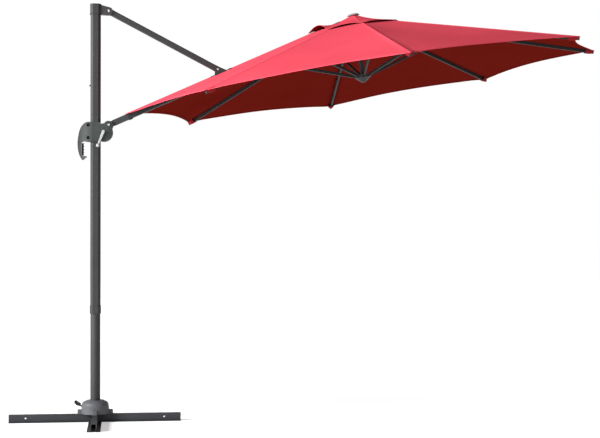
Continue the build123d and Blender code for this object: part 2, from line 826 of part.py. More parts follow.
crank_face = shell_half_width + 6.5
knob_centre = (crank_centre[0] + crank_reach[0], crank_centre[1] + crank_reach[1])
with BuildPart() as crank_arm:
    with BuildSketch(Plane.XZ.offset(-28)):
        with Locations(crank_centre):
            Circle(6)
    extrude(amount=28 + crank_face + 6)
    with BuildSketch(Plane.XZ.offset(crank_face)):
        with Locations(crank_centre):
            Circle(8.5)
        with Locations(knob_centre):
            Circle(4.8)
        make_hull()
    extrude(amount=6)
    fillet(crank_arm.faces().sort_by(Axis.Y)[0].edges(), 2)
    with BuildSketch(Plane.XZ.offset(crank_face)):
        with Locations(knob_centre):
            Circle(4)
    extrude(amount=26)
write("crank_arm", crank_arm)

with BuildPart() as crank_knob:
    with BuildSketch(Plane.XZ.offset(crank_face + 6.6)):
        with Locations(knob_centre):
            Circle(10)
    extrude(amount=24)
    fillet(crank_knob.faces().filter_by(Axis.Y).edges(), 7)
    with BuildSketch(Plane.XZ.offset(crank_face)):
        with Locations(knob_centre):
            Circle(4.1)
    extrude(amount=26.6, mode=Mode.SUBTRACT)
write("crank_knob", crank_knob)

# ---------------------------------------------------------------- canopy frame
hub_outer = 52
hub_half = 9
tube_radius = 13.5
pin_radius = 2
slot_width = rib_width + 0.8
arm_slot_width = 2 * nose_tongue + 0.8


def spoke_wheel(height, arm_gap):
    """Slotted ring that holds one hinge pin for each spoke."""
    with BuildPart() as wheel:
        with BuildSketch(canopy.offset(height - hub_half)):
            Circle(hub_outer)
        extrude(amount=2 * hub_half)
        for spoke in range(1, 9):
            gap = arm_gap if spoke == 1 else slot_width
            with BuildSketch(section(spoke)):
                with Locations((28, height)):
                    Rectangle(40, 4 * hub_half, align=(Align.MIN, Align.CENTER))
            extrude(amount=gap / 2, both=True, mode=Mode.SUBTRACT)
            with BuildSketch(section(spoke)):
                with Locations((hinge_radius, height)):
                    Circle(pin_radius)
            extrude(amount=gap / 2 + 5, both=True)
    return wheel.part


dock_height = hinge_height - hub_half - 8
with BuildPart() as top_hub:
    add(spoke_wheel(hinge_height, arm_slot_width))
    with BuildSketch(canopy.offset(dock_height)):
        Circle(22)
    extrude(amount=hub_half)
    with BuildSketch(canopy.offset(hinge_height)):
        Circle(8)
    extrude(amount=apex_height - hinge_height)
    with BuildSketch(canopy.offset(dock_height)):
        Circle(tube_radius + 0.6)
    extrude(amount=12, mode=Mode.SUBTRACT)
write("top_hub", top_hub)

finial_radius = 38
with BuildPart() as finial:
    with BuildSketch(canopy.offset(apex_height + 1.2)):
        Circle(finial_radius)
    extrude(amount=9.5, taper=50)
    fillet(finial.faces().sort_by(Axis.Z)[-1].edges(), 5)
    with BuildSketch(canopy.offset(apex_height + 1.2)):
        Circle(finial_radius - 10)
    extrude(amount=2.5, mode=Mode.SUBTRACT)
write("finial", finial)

runner_tip = runner_height - 38
tube_length = runner_drop - (hinge_height - dock_height) - 1
with BuildPart() as runner:
    add(spoke_wheel(runner_height, slot_width))
    with BuildSketch(canopy.offset(runner_height - hub_half)):
        Circle(46)
    with BuildSketch(canopy.offset(runner_tip)):
        Circle(12)
    loft()
    with BuildSketch(canopy.offset(runner_height)):
        Circle(tube_radius)
        Circle(tube_radius - 1.5, mode=Mode.SUBTRACT)
    extrude(amount=tube_length)
write("runner", runner)

rib_tube_start = 20
rib_reach = (tip_radius - hinge_radius) / cos(radians(rib_slope)) - 12


def along_rib(distance, above=0):
    """Point of a rib's side view: a distance from its hinge, and above its centre line."""
    c, s = cos(radians(rib_slope)), sin(radians(rib_slope))
    return (hinge_radius + distance * c + above * s, hinge_height - distance * s + above * c)


def spoke_eye(plane, x, y, slope, length, depth, half_width):
    """Flat tongue of a rib or stretcher, from its pin into its tube."""
    with BuildPart() as eye:
        with BuildSketch(plane):
            with Locations((x, y)):
                Circle(depth / 2)
            with Locations(Location((x, y), slope)):
                Rectangle(length, depth, align=(Align.MIN, Align.CENTER))
            with Locations((x, y)):
                Circle(pin_radius + running / 2, mode=Mode.SUBTRACT)
        extrude(amount=half_width, both=True)
    return eye.part


pivot_along = stretcher_length * cos(radians(stretcher_angle - rib_slope))
lug_base = -rib_depth / 2
for spoke in range(2, 9):
    side = section(spoke)
    with BuildPart() as rib:
        with BuildSketch(cross_plane(side, *along_rib(rib_tube_start), -rib_slope)):
            RectangleRounded(rib_width, rib_depth, 2)
            RectangleRounded(rib_width - 2 * rib_wall, rib_depth - 2 * rib_wall, 1, mode=Mode.SUBTRACT)
        extrude(amount=rib_reach - rib_tube_start)
        add(spoke_eye(side, hinge_radius, hinge_height, -rib_slope, rib_tube_start + 12,
                      rib_depth - 2 * rib_wall, rib_width / 2 - rib_wall))
        with BuildSketch(side):
            Polygon(along_rib(pivot_along - 16, 0), along_rib(pivot_along - 5, -stretcher_drop - 5),
                    along_rib(pivot_along + 5, -stretcher_drop - 5), along_rib(pivot_along + 16, 0))
        extrude(amount=lug_gap + lug_wall, both=True)
        with BuildSketch(side):
            Polygon(along_rib(pivot_along - 30, lug_base), along_rib(pivot_along - 30, -40),
                    along_rib(pivot_along + 30, -40), along_rib(pivot_along + 30, lug_base))
        extrude(amount=lug_gap, both=True, mode=Mode.SUBTRACT)
        with BuildSketch(side):
            with Locations(along_rib(pivot_along, -stretcher_drop)):
                Circle(pin_radius)
        extrude(amount=lug_gap + lug_wall, both=True)
        with BuildSketch(cross_plane(side, *along_rib(rib_reach), -rib_slope)):
            RectangleRounded(rib_width, rib_depth, 2)
        extrude(amount=7)
    write(f"rib_{spoke}", rib)

stretcher_eye_start = 26
for spoke in range(1, 9):
    side = section(spoke)
    outer_x = hinge_radius + stretcher_length * cos(radians(stretcher_angle))
    outer_y = hinge_height - runner_drop / 2
    tube_start = (hinge_radius + stretcher_eye_start * cos(radians(stretcher_angle)),
                  runner_height + stretcher_eye_start * sin(radians(stretcher_angle)))
    with BuildPart() as stretcher:
        add(box_tube(cross_plane(side, *tube_start, stretcher_angle), rib_width, stretcher_depth,
                     rib_wall, 2, stretcher_length - 2 * stretcher_eye_start))
        for x, y, slope in ((hinge_radius, runner_height, stretcher_angle),
                            (outer_x, outer_y, stretcher_angle + 180)):
            add(spoke_eye(side, x, y, slope, stretcher_eye_start + 12, 11, rib_width / 2 - 0.5))
    write(f"stretcher_{spoke}", stretcher)


# ---------------------------------------------------------------- canopy cloth
def cloth_line(spoke, radius, raised=0):
    """Height of the cloth over a spoke: the arm carries it a little higher than the ribs."""
    if spoke in (1, 9):
        return arm_cloth_lift - radius * tan(radians(arm_below_plane)) + raised
    return -radius * tan(radians(rib_slope)) + raised


def tip_of(spoke):
    """Canopy corner at the end of a spoke."""
    reach = arm_tip_reach if spoke in (1, 9) else tip_radius
    return canopy_point(azimuth(spoke), reach, cloth_line(spoke, reach))


def panel(corners, hem_direction=None):
    """Flat piece of cloth under its four corners; a hem direction bows its second edge inward."""
    start, tip, hem_middle, inner_middle = corners
    normal = (tip - start).cross(hem_middle - start)
    if normal.dot(canopy.z_dir) < 0:
        normal = -normal
    flat = Plane(origin=start, x_dir=tip - start, z_dir=normal)
    a, b, c, d = [Vector(p.X, p.Y) for p in map(flat.to_local_coords, corners)]
    with BuildPart() as piece:
        with BuildSketch(flat):
            with BuildLine():
                Line(a, b)
                if hem_direction is None:
                    Line(b, c)
                else:
                    heading = flat.to_local_coords(flat.origin + hem_direction)
                    TangentArc(c, b, tangent=Vector(heading.X, heading.Y))
                Line(c, d)
                Line(d, a)
            make_face()
        extrude(amount=cloth, dir=-canopy.z_dir)
    return piece.part


def half_gore(spoke, turn):
    """Cloth from a spoke to the middle of the panel on one side, main canopy and vent flap."""
    neighbour = spoke + turn if spoke + turn > 0 else 8
    here, there = tip_of(spoke), tip_of(neighbour)
    chord = (here - there).normalized()
    middle_angle = azimuth(spoke) + turn * 22.5
    trim = (here - there).normalized() * cloth_gap
    mean = (cloth_line(spoke, tip_radius) + cloth_line(neighbour, tip_radius)) / 2
    fall = mean / tip_radius / cos(radians(22.5))
    hem_radius = tip_radius * cos(radians(22.5)) - scallop
    rim_radius = vent_radius * cos(radians(22.5))
    inner_radius = vent_opening * cos(radians(22.5))
    main = panel(
        (
            canopy_point(azimuth(spoke), vent_opening, cloth_line(spoke, vent_opening)),
            here,
            canopy_point(middle_angle, hem_radius, hem_radius * fall) + trim,
            canopy_point(middle_angle, inner_radius, inner_radius * fall) + trim,
        ),
        chord,
    )
    top_radius = 20
    vent_fall = (cloth_line(spoke, vent_radius, vent_lift) - apex_height) / (vent_radius - top_radius)
    flap = panel(
        (
            canopy_point(azimuth(spoke), top_radius, apex_height),
            canopy_point(azimuth(spoke), vent_radius, cloth_line(spoke, vent_radius, vent_lift)),
            canopy_point(middle_angle, rim_radius, apex_height + (vent_radius - top_radius) * vent_fall) + trim,
            canopy_point(middle_angle, top_radius * cos(radians(22.5)), apex_height) + trim,
        )
    )
    return main, flap


slit_length = 110
slit_width = 44
for spoke in range(1, 9):
    pieces = [*half_gore(spoke, 1), *half_gore(spoke, -1)]
    with BuildPart() as gore:
        for piece in pieces:
            add(piece)
        if spoke == 1:
            with BuildSketch(arm_side):
                with Locations((knee_in_arm.X + 8, arm_cloth_height)):
                    Rectangle(slit_length, 40)
            extrude(amount=slit_width / 2, both=True, mode=Mode.SUBTRACT)
    write(f"gore_{spoke}", gore)
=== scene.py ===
import json
from math import atan2, cos, exp, pi, radians, sin, tan

import bmesh
import bpy
from mathutils import Matrix, Vector, noise


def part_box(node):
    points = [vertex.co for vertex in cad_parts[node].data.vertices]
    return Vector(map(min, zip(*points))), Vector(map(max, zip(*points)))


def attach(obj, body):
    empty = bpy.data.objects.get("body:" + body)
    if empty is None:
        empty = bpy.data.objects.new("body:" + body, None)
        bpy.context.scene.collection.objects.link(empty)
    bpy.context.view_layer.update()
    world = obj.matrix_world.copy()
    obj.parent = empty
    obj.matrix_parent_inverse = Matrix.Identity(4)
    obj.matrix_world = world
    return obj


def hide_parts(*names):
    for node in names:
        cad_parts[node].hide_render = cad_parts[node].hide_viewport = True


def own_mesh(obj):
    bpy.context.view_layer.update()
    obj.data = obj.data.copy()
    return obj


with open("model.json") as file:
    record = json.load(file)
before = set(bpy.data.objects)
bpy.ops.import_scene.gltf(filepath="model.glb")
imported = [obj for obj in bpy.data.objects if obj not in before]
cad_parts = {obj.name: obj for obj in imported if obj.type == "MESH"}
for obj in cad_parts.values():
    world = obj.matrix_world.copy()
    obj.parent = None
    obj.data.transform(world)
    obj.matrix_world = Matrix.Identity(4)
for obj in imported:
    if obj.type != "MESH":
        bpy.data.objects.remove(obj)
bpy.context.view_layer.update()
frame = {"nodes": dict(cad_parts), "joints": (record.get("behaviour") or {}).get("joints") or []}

joints = {joint["name"]: joint for joint in frame["joints"]}
scene = bpy.context.scene

# ---------------------------------------------------------------- the canopy's own frame, from its hinges
SPOKES = range(1, 9)
HINGE_DROP = 0.0237          # hinge pins below the cloth's apex
far_hinge = Vector(joints["rib_5_hinge"]["pos_m"])
arm_hinge = Vector(joints["canopy_close"]["pos_m"])
hinge_centre = (far_hinge + arm_hinge) / 2
canopy_x = (far_hinge - arm_hinge).normalized()
canopy_y = Vector((0, 1, 0))
canopy_z = canopy_x.cross(canopy_y)
apex = hinge_centre + HINGE_DROP * canopy_z
TILT = atan2(canopy_x.z, canopy_x.x)

# ---------------------------------------------------------------- the arm's line, from its pivots
ARM_SLOPE = radians(24.15)
slider_pivot = Vector(joints["slider_pivot"]["pos_m"])
knee = Vector(joints["arm_at_strut"]["pos_m"])
arm_along = Vector((cos(ARM_SLOPE), 0, sin(ARM_SLOPE)))
arm_up = Vector((-sin(ARM_SLOPE), 0, cos(ARM_SLOPE)))

# ---------------------------------------------------------------- cloth sizes in metres
TIP_RADIUS = 1.449
TIP_DROP = 0.4056            # corners below the cloth's apex
RIB_FALL = TIP_DROP / TIP_RADIUS
ARM_TIP_RADIUS = 1.445
ARM_CLOTH_HEIGHT = 0.021     # cloth over the arm's axis
ARM_FALL = tan(ARM_SLOPE - TILT)
ARM_LIFT = (ARM_CLOTH_HEIGHT - (apex - slider_pivot).dot(arm_up)) / cos(ARM_SLOPE - TILT)
CLOTH = 0.0008
HEM_WIDTH = 0.020
# the hem's rows: how far out, how far down, and how much of its width back under the cloth
HEM_ROLL = ((0.0006, 0.0008, 0), (0.0004, 0.0018, 0), (-0.0006, 0.0023, 0), (0, 0.0024, 1))

# main canopy
VENT_OPENING = 0.200
HALF_SECTOR = radians(22.5)
SCALLOP = 0.058              # edge drawn in at the middle of a panel
SAG = 0.011                  # droop at the middle of a panel
RIPPLE = 0.0022              # slow unevenness of the cloth
RIPPLES_PER_METRE = 2.3
CREASE = 0.0022              # height of the tension folds that spread from the corners
CREASES = 9
CREASE_START = 0.05
CREASE_REACH = 0.20

# vent cap
VENT_TOP = 0.018             # radius of its top
VENT_RADIUS = 0.290
VENT_CROWN = 0.010           # height of its top
VENT_OVERLAP = 0.006         # its edge above the main cloth, over a spoke
VENT_HOLLOW = 0.010          # dip between its top and its edge
VENT_SCALLOP = 0.012
VENT_BILLOW = 0.006
VENT_RIPPLE = 0.0016
VENT_RIPPLES_PER_METRE = 14
# how far the vent cap's edge stands off at the middle of each panel
panel_lift = {(1, 2): 0.030, (2, 3): 0.007, (3, 4): 0.005, (4, 5): 0.006,
              (5, 6): 0.012, (6, 7): 0.014, (7, 8): 0.020, (1, 8): 0.030}


def spoke_heading(spoke):
    """Unit vector of a spoke in the canopy's own plane."""
    angle = radians(180 + 45 * (spoke - 1))
    return Vector((cos(angle), sin(angle), 0))


def place(local):
    """A point of the canopy's own frame, in the shared frame."""
    return apex + local.x * canopy_x + local.y * canopy_y + local.z * canopy_z


def arm_point(along, sideways, above):
    """Point near the arm, in distances along it, to its side and above its axis."""
    return slider_pivot + along * arm_along + sideways * canopy_y + above * arm_up


def on_spoke(spoke, share):
    """Point of the cloth over a spoke, from the vent opening (share 0) to the corner (share 1)."""
    tip = ARM_TIP_RADIUS if spoke == 1 else TIP_RADIUS
    radius = VENT_OPENING + (tip - VENT_OPENING) * share
    height = ARM_LIFT - radius * ARM_FALL if spoke == 1 else -radius * RIB_FALL
    point = radius * spoke_heading(spoke)
    point.z = height
    return point


def smooth(x):
    """Eased step from 0 to 1."""
    x = max(0.0, min(1.0, x))
    return x * x * (3 - 2 * x)


def cloth_point(spoke, neighbour, across, share, seed):
    """Point of the main canopy between two spokes: across runs from 0 on one spoke to 1 on the other."""
    bow = 4 * across * (1 - across)
    pull = SCALLOP / cos(HALF_SECTOR) * bow * share**2.2
    inward = share - pull / (TIP_RADIUS - VENT_OPENING)
    point = on_spoke(spoke, inward).lerp(on_spoke(neighbour, inward), across)
    point.z -= SAG * bow * sin(pi * min(1.0, share * 1.05) ** 0.9)
    for corner, side in ((on_spoke(spoke, 1), 0), (on_spoke(neighbour, 1), 1)):
        away = (point - corner).length
        turn = atan2(abs(across - side) * 1.1, 1.001 - share + 0.02)
        fade = smooth(away / CREASE_START) * exp(-away / CREASE_REACH) * smooth(abs(across - side) * 12)
        point.z += CREASE * fade * sin(CREASES * turn + 2.1 * side + 1.7 * seed)
    spot = place(point)
    slow = noise.noise(spot * RIPPLES_PER_METRE + Vector((seed, 0, 0)))
    point.z += RIPPLE * slow * bow
    return point


# ---------------------------------------------------------------- materials
def new_material(name):
    """Empty node material with its principled shader."""
    material = bpy.data.materials.new(name)
    material.use_nodes = True
    shader = material.node_tree.nodes["Principled BSDF"]
    return material, material.node_tree, shader


def node(tree, kind, **values):
    """Adds a node and sets its inputs by socket name, and its other settings by attribute."""
    made = tree.nodes.new(kind)
    for key, value in values.items():
        label = key.replace("_", " ")
        if label in made.inputs:
            made.inputs[label].default_value = value
        else:
            setattr(made, key, value)
    return made


def mix_colour(tree, share, dark, light):
    """Colour mixed between two by a socket."""
    ramp = node(tree, "ShaderNodeValToRGB")
    ramp.color_ramp.elements[0].position = 0.25
    ramp.color_ramp.elements[1].position = 0.75
    ramp.color_ramp.elements[0].color = (*dark, 1)
    ramp.color_ramp.elements[1].color = (*light, 1)
    tree.links.new(share, ramp.inputs["Fac"])
    return ramp.outputs["Color"]


def map_range(tree, value, span, ends, **settings):
    """Node that maps a socket's span of values onto two ends."""
    made = node(tree, "ShaderNodeMapRange", **settings)
    made.inputs["From Min"].default_value, made.inputs["From Max"].default_value = span
    made.inputs["To Min"].default_value, made.inputs["To Max"].default_value = ends
    tree.links.new(value, made.inputs["Value"])
    return made.outputs["Result"]


def maths(tree, operation, *inputs):
    """Value socket of a maths node, from numbers and other sockets."""
    made = node(tree, "ShaderNodeMath", operation=operation)
    for socket, value in zip(made.inputs, inputs):
        if isinstance(value, (int, float)):
            socket.default_value = value
        else:
            tree.links.new(value, socket)
    return made.outputs["Value"]


GLOSS_SPREAD = 0.07          # roughness to either side of its mean
GRAIN_HEIGHT = 0.0002


def coated(name, colour, roughness, metallic=0.0, grain=900.0, depth=0.04, variation=0.18, specular=0.25):
    """Powder coat, moulded plastic or metal: fine grain, uneven gloss and slight variation of colour."""
    material, tree, shader = new_material(name)
    here = node(tree, "ShaderNodeTexCoord").outputs["Object"]
    broad = node(tree, "ShaderNodeTexNoise", Scale=7.0, Detail=3.0)
    fine = node(tree, "ShaderNodeTexNoise", Scale=grain, Detail=2.0)
    smudge = node(tree, "ShaderNodeTexNoise", Scale=38.0, Detail=4.0)
    for texture in (broad, fine, smudge):
        tree.links.new(here, texture.inputs["Vector"])
    dark = [c * (1 - variation) for c in colour]
    light = [min(1.0, c * (1 + variation)) for c in colour]
    tree.links.new(mix_colour(tree, broad.outputs["Fac"], dark, light), shader.inputs["Base Color"])
    gloss_ends = (max(0.05, roughness - GLOSS_SPREAD), min(1.0, roughness + GLOSS_SPREAD))
    gloss = map_range(tree, smudge.outputs["Fac"], (0.3, 0.7), gloss_ends)
    tree.links.new(gloss, shader.inputs["Roughness"])
    bump = node(tree, "ShaderNodeBump", Strength=depth * 6, Distance=GRAIN_HEIGHT)
    tree.links.new(fine.outputs["Fac"], bump.inputs["Height"])
    tree.links.new(bump.outputs["Normal"], shader.inputs["Normal"])
    shader.inputs["Metallic"].default_value = metallic
    shader.inputs["Specular IOR Level"].default_value = specular
    return material


THREADS = 0.0011             # two threads of the weave
STITCH_OFFSET = 0.005        # a row of stitches this far to either side of a rib's seam
STITCH_HALF_WIDTH = 0.0006
STITCH_PITCH = 0.0055
STITCH_FROM = -0.35          # the pitch's wave is thread above this level, and a gap below it
STITCH_TONE = 0.45
WEAVE_HEIGHT = 0.0004


def cloth_material(name, dark, light, sheen, roughness=0.8, specular=0.15):
    """Plain-weave polyester: two thread directions, sewn seam lines beside each rib, soft sheen."""
    material, tree, shader = new_material(name)
    uv = node(tree, "ShaderNodeUVMap", uv_map="cloth")
    parts = node(tree, "ShaderNodeSeparateXYZ")
    tree.links.new(uv.outputs["UV"], parts.inputs["Vector"])
    across = parts.outputs["X"]
    along = parts.outputs["Y"]
    warp = maths(tree, "SINE", maths(tree, "MULTIPLY", across, 2 * pi / THREADS))
    weft = maths(tree, "SINE", maths(tree, "MULTIPLY", along, 2 * pi / THREADS))
    weave = maths(tree, "MULTIPLY", warp, weft)
    from_seam = maths(tree, "ABSOLUTE", across)
    from_stitches = maths(tree, "ABSOLUTE", maths(tree, "SUBTRACT", from_seam, STITCH_OFFSET))
    on_stitches = maths(tree, "LESS_THAN", from_stitches, STITCH_HALF_WIDTH)
    pitch_wave = maths(tree, "SINE", maths(tree, "MULTIPLY", along, 2 * pi / STITCH_PITCH))
    dashes = maths(tree, "GREATER_THAN", pitch_wave, STITCH_FROM)
    stitch = maths(tree, "MULTIPLY", on_stitches, dashes)
    here = node(tree, "ShaderNodeTexCoord").outputs["Object"]
    broad = node(tree, "ShaderNodeTexNoise", Scale=2.6, Detail=4.0)
    slub = node(tree, "ShaderNodeTexNoise", Scale=240.0, Detail=2.0)
    tree.links.new(here, broad.inputs["Vector"])
    tree.links.new(here, slub.inputs["Vector"])
    broad_tone = maths(tree, "MULTIPLY", broad.outputs["Fac"], 0.75)
    slub_tone = maths(tree, "MULTIPLY", slub.outputs["Fac"], 0.25)
    body = mix_colour(tree, maths(tree, "ADD", broad_tone, slub_tone), dark, light)
    sewn = node(tree, "ShaderNodeMixRGB")
    tree.links.new(maths(tree, "MULTIPLY", stitch, STITCH_TONE), sewn.inputs["Fac"])
    tree.links.new(body, sewn.inputs["Color1"])
    sewn.inputs["Color2"].default_value = (*[c * STITCH_TONE for c in dark], 1)
    tree.links.new(sewn.outputs["Color"], shader.inputs["Base Color"])
    woven = maths(tree, "MULTIPLY", weave, 0.25)
    height = maths(tree, "SUBTRACT", woven, maths(tree, "MULTIPLY", stitch, 1.2))
    bump = node(tree, "ShaderNodeBump", Strength=0.25, Distance=WEAVE_HEIGHT)
    tree.links.new(height, bump.inputs["Height"])
    tree.links.new(bump.outputs["Normal"], shader.inputs["Normal"])
    shader.inputs["Roughness"].default_value = roughness
    shader.inputs["Specular IOR Level"].default_value = specular
    shader.inputs["Sheen Weight"].default_value = sheen
    shader.inputs["Sheen Roughness"].default_value = 0.45
    shader.inputs["Sheen Tint"].default_value = (1.0, 0.75, 0.78, 1)
    return material


anthracite = coated("anthracite_powder_coat", (0.022, 0.023, 0.0245), 0.5, specular=0.35)
bar_coat = coated("base_bar_coat", (0.024, 0.0255, 0.029), 0.5, specular=0.3)
rib_coat = coated("rib_coat", (0.018, 0.018, 0.018), 0.55, specular=0.2)
moulded = coated("moulded_black_plastic", (0.028, 0.029, 0.031), 0.5, grain=600.0, depth=0.08)
base_plastic = coated("dome_plastic", (0.085, 0.087, 0.095), 0.5, grain=600.0, depth=0.08)
grip_plastic = coated("grip_plastic", (0.030, 0.035, 0.033), 0.5, grain=700.0, depth=0.08)
cap_plastic = coated("finial_plastic", (0.30, 0.30, 0.31), 0.5, grain=600.0, depth=0.08)
trigger_plastic = coated("trigger_plastic", (0.008, 0.008, 0.009), 0.5, grain=500.0)
zinc = coated("zinc_plate", (0.50, 0.50, 0.49), 0.38, metallic=0.9, grain=300.0, variation=0.08)
crank_steel = coated("painted_crank", (0.33, 0.33, 0.32), 0.5, grain=300.0, variation=0.06)
cord_white = coated("braided_cord", (0.6, 0.58, 0.52), 0.8, grain=1500.0, depth=0.3)
canopy_cloth = cloth_material("canopy_cloth", (0.66, 0.062, 0.095), (0.76, 0.082, 0.118), 0.0, 0.9, 0.02)
# painted shade: the canopy's underside is coloured far darker than its top, standing in for the shade under
# the canopy
underside_painted_shade = cloth_material(
    "canopy_underside_painted_shade", (0.098, 0.0062, 0.0035), (0.122, 0.0085, 0.0055), 0.0, 0.95, 0.0
)
# painted shade: the pockets use a darker copy of the canopy's red, standing in for the shade under the
# corners
pocket_cloth_painted_shade = cloth_material("pocket_cloth_painted_shade", (0.17, 0.010, 0.012), (0.24, 0.015, 0.019), 0.0, 0.9, 0.02)
webbing = cloth_material("webbing", (0.022, 0.022, 0.024), (0.034, 0.034, 0.036), 0.0, 0.9, 0.05)

finishes = {
    bar_coat: ("cross_bar_x", "cross_bar_y"),
    anthracite: ("base_socket", "lock_bracket", "index_plate", "mast_tube_lower",
                 "mast_tube_upper", "strut_tube", "arm_tube", "arm_brackets"),
    rib_coat: tuple(f"rib_{k}" for k in range(2, 9)) + tuple(f"stretcher_{k}" for k in SPOKES),
    moulded: ("thrust_ring", "bearing_sleeve", "mast_collar", "top_bracket", "strut_ends", "arm_root",
              "arm_nose", "top_hub", "runner", "spool", "stop_button"),
    cap_plastic: ("finial",),
    base_plastic: ("base_cover",),
    grip_plastic: ("slider_shell_near", "slider_shell_far"),
    # painted shade: the slider's screws take the near-black plastic so that their recesses read dark
    trigger_plastic: ("grip_trigger", "foot_pedal", "slider_screws"),
    zinc: ("base_bolts", "lock_pin", "pin_spring", "strut_bolt", "bracket_bolts", "arm_bolt"),
    crank_steel: ("crank_arm", "crank_knob"),
    cord_white: ("lift_cord",),
}
for material, names in finishes.items():
    for name in names:
        for holder in frame["nodes"][name].material_slots:
            holder.material = material


# ---------------------------------------------------------------- mesh helpers
def object_from(name, points, faces, uvs=None, materials=(), shade_smooth=True):
    """Mesh object from points in the shared frame, with metre-scale coordinates for the weave."""
    mesh = bpy.data.meshes.new(name)
    mesh.from_pydata([tuple(p) for p in points], [], faces)
    if uvs is not None:
        layer = mesh.uv_layers.new(name="cloth")
        for loop in mesh.loops:
            layer.data[loop.index].uv = uvs[loop.vertex_index]
    for material in materials:
        mesh.materials.append(material)
    if shade_smooth:
        mesh.polygons.foreach_set("use_smooth", [True] * len(mesh.polygons))
    mesh.update()
    made = bpy.data.objects.new(name, mesh)
    scene.collection.objects.link(made)
    return made


def grid_faces(rows, columns, first=0):
    """Quads of a grid whose points are stored row by row."""
    return [
        (first + i * columns + j, first + (i + 1) * columns + j,
         first + (i + 1) * columns + j + 1, first + i * columns + j + 1)
        for i in range(rows - 1)
        for j in range(columns - 1)
    ]


# ---------------------------------------------------------------- canopy cloth
ROWS = 34
COLUMNS = 15
SEAM_OFFSETS = (0.0, 0.0042, 0.0075)
SEAM_RISE = 0.0014
rib_body = {k: "arm" if k == 1 else f"rib_{k}" for k in SPOKES}


def half_row(make_point, spoke, neighbour, share):
    """One side of a row: points from the spoke to the middle of the panel, and their distances across."""
    start, middle = make_point(spoke, neighbour, 0.0, share), make_point(spoke, neighbour, 0.5, share)
    half_chord = (middle - start).length
    row = []
    for j in range(COLUMNS + 1):
        if j < len(SEAM_OFFSETS):
            offset = SEAM_OFFSETS[j]
        else:
            step = (j - len(SEAM_OFFSETS) + 1) / (COLUMNS - len(SEAM_OFFSETS) + 1)
            offset = SEAM_OFFSETS[-1] + (half_chord - SEAM_OFFSETS[-1]) * step
        point = make_point(spoke, neighbour, 0.5 * offset / half_chord, share)
        if j < 2:
            point.z += SEAM_RISE
        row.append((point, offset))
    return row


def full_row(make_point, spoke, share):
    """A row across one sector, from one panel's middle over the spoke to the next panel's middle."""
    after = spoke % 8 + 1
    before = (spoke - 2) % 8 + 1
    right = half_row(make_point, spoke, after, share)
    left = half_row(make_point, spoke, before, share)
    return [(p, -d) for p, d in reversed(left[1:])] + right


def seed_of(a, b):
    """The same number for a panel, from whichever spoke it is reached."""
    return (min(a, b) * 3 + max(a, b) * 7) % 11


def main_point(spoke, neighbour, across, share):
    """Point of the main canopy, the same whichever spoke of the panel it is reached from."""
    if spoke > neighbour:
        spoke, neighbour, across = neighbour, spoke, 1 - across
    return cloth_point(spoke, neighbour, across, share, seed_of(spoke, neighbour))


def vent_point(spoke, neighbour, across, share):
    """Point of the vent cap, from its top (share 0) to its lifted edge (share 1)."""
    bow = 4 * across * (1 - across)
    radius = VENT_TOP + (VENT_RADIUS - VENT_TOP) * share - VENT_SCALLOP * bow * share**2
    ends = []
    for k in (spoke, neighbour):
        fall = ARM_FALL if k == 1 else RIB_FALL
        lift = ARM_LIFT if k == 1 else 0.0
        edge = lift - VENT_RADIUS * fall + VENT_OVERLAP
        end = radius * spoke_heading(k)
        end.z = VENT_CROWN + (edge - VENT_CROWN) * share - VENT_HOLLOW * sin(pi * share**0.8)
        ends.append(end)
    point = ends[0].lerp(ends[1], across)
    rise = panel_lift[(min(spoke, neighbour), max(spoke, neighbour))]
    point.z += rise * bow * share**3 + VENT_BILLOW * bow * share
    point.z += VENT_RIPPLE * bow * share * noise.noise(place(point) * VENT_RIPPLES_PER_METRE)
    return point


HEM_FACE_ROWS = 2            # rows of faces on the turned-under side


def cloth_sheet(name, make_point, spoke, rows, shares):
    """One sector of cloth with a turned-under hem along its outer edge."""
    width = 2 * COLUMNS + 1
    along = 0.0
    previous = None
    grid = []
    for i in range(rows):
        row = full_row(make_point, spoke, shares[i])
        middle = row[COLUMNS][0]
        if previous is not None:
            along += (middle - previous).length
        previous = middle
        grid.append([(p.copy(), d, along) for p, d in row])
    # the edge rolls over and the hem runs back underneath
    edge, inner = grid[-1], grid[-2]
    for out, down, back in HEM_ROLL:
        row = []
        for (p, d, v), (q, _, _) in zip(edge, inner):
            outward = (p - q).normalized()
            moved = p + outward * (out - back * HEM_WIDTH)
            moved.z -= down
            row.append((moved, d, v + out + back * HEM_WIDTH))
        grid.append(row)
    points = [place(p) for row in grid for p, _, _ in row]
    uvs = [(d, v) for row in grid for _, d, v in row]
    faces = grid_faces(len(grid), width)
    sheet = object_from(name, points, faces, uvs, (canopy_cloth, underside_painted_shade))
    # the turned-under hem takes the underside's darker colour, painted shade
    turned_under = (len(grid) - 1 - HEM_FACE_ROWS) * (width - 1)
    for polygon in sheet.data.polygons[turned_under:]:
        polygon.material_index = 1
    return sheet


def outward_first(thing):
    """Turns the faces so that the canopy's upper side is the outside."""
    mesh = bmesh.new()
    mesh.from_mesh(thing.data)
    middle = mesh.faces[:][len(mesh.faces) // 3]
    if middle.normal.dot(canopy_z) < 0:
        bmesh.ops.reverse_faces(mesh, faces=mesh.faces)
    mesh.to_mesh(thing.data)
    mesh.free()


SHARP_EDGE = radians(50)


def thicken(thing, thickness=CLOTH):
    """Gives cloth its thickness; the underside takes the second material, on the canopy a far darker colour
    painted as the shade under it.
    """
    solid = thing.modifiers.new("thickness", "SOLIDIFY")
    solid.thickness = thickness
    solid.offset = -1
    solid.material_offset = 1
    solid.material_offset_rim = 0
    ready = thing.evaluated_get(bpy.context.evaluated_depsgraph_get())
    mesh = bpy.data.meshes.new_from_object(ready)
    thing.modifiers.clear()
    thing.data = mesh
    mesh.set_sharp_from_angle(angle=SHARP_EDGE)


